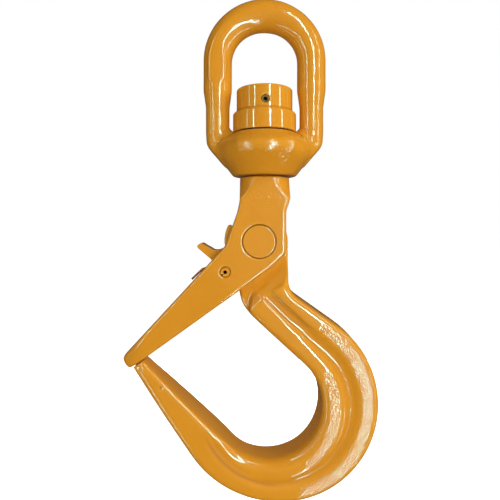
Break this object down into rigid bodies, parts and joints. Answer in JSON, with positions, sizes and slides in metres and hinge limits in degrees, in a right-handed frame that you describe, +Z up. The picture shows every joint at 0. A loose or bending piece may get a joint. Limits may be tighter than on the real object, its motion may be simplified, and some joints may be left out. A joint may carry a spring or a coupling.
{
  "type": "swivel hook",
  "caption": "Self-locking swivel lifting hook: forged eye bow, ball-bearing swivel, forked latch arm, and a hook that swings open on a load pin and locks with a sprung trigger.",
  "frame": {"origin": "inner crown of the bow's eye, where a shackle or chain link bears, on the swivel axis", "axes": "+Z up along the swivel axis, +X away from the latch arm, -Y the front with the marking pad; the hook opens towards -X"},
  "size_m": [0.1245, 0.0492, 0.2459],
  "materials": {
    "bow_paint": "gloss orange-yellow paint over a forged surface",
    "nut_paint": "gloss orange-yellow paint over a turned surface",
    "fork_paint": "gloss orange-yellow paint over a forged surface",
    "hook_paint": "gloss orange-yellow paint over a forged surface",
    "pin_paint": "gloss orange-yellow paint over a turned end",
    "trigger_paint": "gloss orange-yellow paint over a cast surface",
    "dark_pin": "dark spring steel with paint on its end",
    "bearing_steel": "ground and lightly oiled",
    "cage_brass": "dull pressed strip",
    "seal_rubber": "matt black",
    "spring_steel": "drawn wire with a thin reddish-brown coat"
  },
  "bodies": {
    "bow": {"swivel_bow": "bow_paint", "bearing_lower_race": "bearing_steel"},
    "shank": {"latch_fork": "fork_paint", "swivel_nut": "nut_paint", "nut_lock_pin": "dark_pin", "bearing_upper_race": "bearing_steel", "bearing_seal_ring": "seal_rubber", "load_pin": "pin_paint", "trigger_pin": "pin_paint", "trigger_spring": "spring_steel"},
    "ball_set": {"bearing_cage": "cage_brass", "bearing_ball_01": "bearing_steel", "bearing_ball_02": "bearing_steel", "bearing_ball_03": "bearing_steel", "bearing_ball_04": "bearing_steel", "bearing_ball_05": "bearing_steel", "bearing_ball_06": "bearing_steel", "bearing_ball_07": "bearing_steel", "bearing_ball_08": "bearing_steel", "bearing_ball_09": "bearing_steel", "bearing_ball_10": "bearing_steel", "bearing_ball_11": "bearing_steel", "bearing_ball_12": "bearing_steel", "bearing_ball_13": "bearing_steel", "bearing_ball_14": "bearing_steel"},
    "hook": {"hook_body": "hook_paint"},
    "trigger": {"trigger": "trigger_paint"}
  },
  "joints": [
    {"name": "swivel", "type": "hinge", "parent": "bow", "child": "shank", "pos_m": [0, 0, -0.0464], "axis": [0, 0, 1], "continuous": true},
    {"name": "cage_spin", "type": "hinge", "parent": "bow", "child": "ball_set", "pos_m": [0, 0, -0.0464], "axis": [0, 0, 1], "continuous": true},
    {"name": "hook_open", "type": "hinge", "parent": "shank", "child": "hook", "pos_m": [-0.0028, 0, -0.10415], "axis": [0, -1, 0], "range_deg": [0, 32]},
    {"name": "trigger_press", "type": "hinge", "parent": "shank", "child": "trigger", "pos_m": [-0.0191, 0, -0.11875], "axis": [0, -1, 0], "range_deg": [0, 30], "stiffness_Nm_per_rad": 0.03, "springref_deg": -17.19}
  ],
  "couplings": [
    {"joint": "cage_spin", "follows": "swivel", "ratio": 0.5},
    {"joint": "trigger_press", "follows": "hook_open", "ratio": 0.9}
  ]
}
